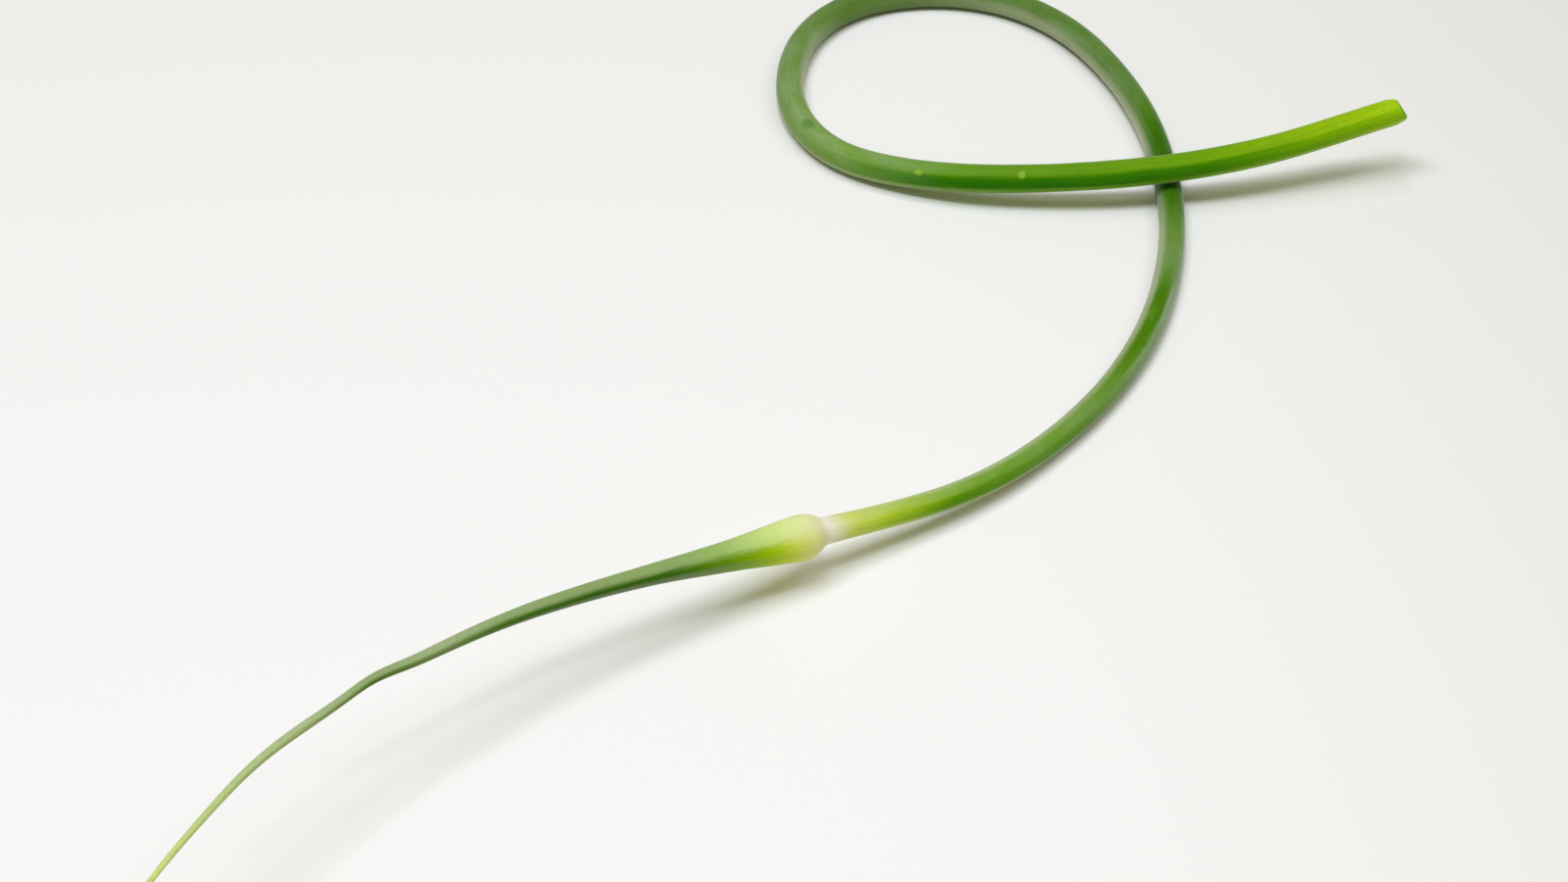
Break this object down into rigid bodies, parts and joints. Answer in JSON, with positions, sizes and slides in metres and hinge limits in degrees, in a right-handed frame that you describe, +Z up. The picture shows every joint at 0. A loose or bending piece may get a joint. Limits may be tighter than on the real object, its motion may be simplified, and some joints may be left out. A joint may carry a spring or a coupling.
{
  "type": "garlic scape",
  "caption": "Cut garlic flower stalk lying in a loose loop, with the swollen bud sheath at its end drawn out into a long thin beak.",
  "frame": {"origin": "middle of the bounding box's base, on the surface that the scape lies on", "axes": "+Z up, +Y along the lying scape from the beak's tip towards the loop, +X towards the cut end"},
  "size_m": [0.2995, 0.3903, 0.0327],
  "materials": {
    "stalk_skin": "satin",
    "spathe_skin": "satin"
  },
  "bodies": {
    "root": {"stalk": "stalk_skin", "spathe": "spathe_skin"}
  },
  "joints": []
}
